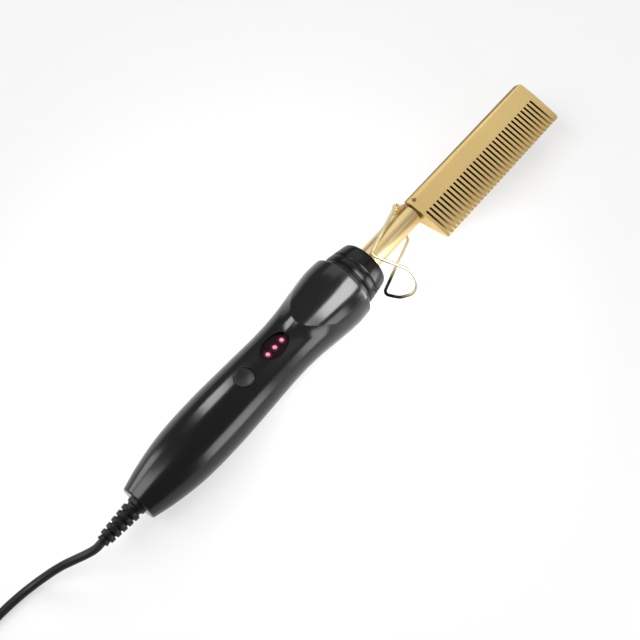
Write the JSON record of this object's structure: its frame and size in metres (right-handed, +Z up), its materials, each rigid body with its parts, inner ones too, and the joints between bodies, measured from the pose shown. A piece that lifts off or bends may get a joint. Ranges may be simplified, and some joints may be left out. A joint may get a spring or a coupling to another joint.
{
  "type": "hot comb",
  "caption": "Electric hot comb: a wedge-toothed metal comb head on a heated neck tube, a moulded handle with one button and lamps, a folding wire stand and a mains lead.",
  "frame": {"origin": "on the rest flat under the handle's front bulge, below the tool's axis", "axes": "+X along the tool towards the comb's far end, +Z up out of the side with the button and lamps, teeth towards -Y"},
  "size_m": [0.4294, 0.0835, 0.0324],
  "materials": {
    "shell_plastic": "satin black moulding",
    "collar_plastic": "glossy black heat-proof moulding",
    "gold_head": "fine satin gold finish on a light alloy",
    "gold_tube": "bright gold-plated steel tube",
    "gold_wire": "gold-plated spring wire",
    "steel": "zinc-plated screws",
    "dark_steel": "dark grub screw",
    "white_ceramic": "alumina and glass-fibre insulation",
    "window_plastic": "dark tinted window",
    "lamp": "lit pink-red lamp",
    "board_green": "solder-resist green",
    "component_black": "moulded component bodies",
    "film_yellow": "capacitor film",
    "button_plastic": "satin dark button",
    "boot_rubber": "soft ribbed strain relief",
    "cord_rubber": "smooth black sheath",
    "lead_wire": "insulated single wires"
  },
  "bodies": {
    "comb_body": {"upper_shell": "shell_plastic", "lower_shell": "shell_plastic", "front_collar": "collar_plastic", "comb_head": "gold_head", "neck_tube": "gold_tube", "stand_bracket": "gold_tube", "shell_screws": "steel", "board_screws": "steel", "clamp_screws": "steel", "tube_lock_plate": "steel", "plug_pins": "steel", "head_screw": "dark_steel", "insulator_bush": "white_ceramic", "insulating_sleeve": "white_ceramic", "heater_rod": "white_ceramic", "fuse": "white_ceramic", "led_window": "window_plastic", "led_lamps": "lamp", "circuit_board": "board_green", "tact_switch": "component_black", "triac": "component_black", "control_chip": "component_black", "thermistor": "component_black", "cord_clamp": "component_black", "film_capacitor": "film_yellow", "cord_boot": "boot_rubber", "power_cord": "cord_rubber", "cord_coil": "cord_rubber", "cord_tie": "cord_rubber", "cord_tail": "cord_rubber", "plug_body": "cord_rubber", "heater_leads": "lead_wire", "supply_leads": "lead_wire"},
    "stand": {"wire_stand": "gold_wire"},
    "button": {"power_button": "button_plastic", "switch_plunger": "component_black"}
  },
  "joints": [
    {"name": "stand_hinge", "type": "hinge", "parent": "comb_body", "child": "stand", "pos_m": [0.0613, 0.0068, 0.015], "axis": [0, 0, 1], "range_deg": [-2, 60]},
    {"name": "button_press", "type": "slide", "parent": "comb_body", "child": "button", "axis": [0, 0, -1], "range_m": [0, 0.0008], "stiffness_N_per_m": 300, "springref_m": -0.0005}
  ]
}
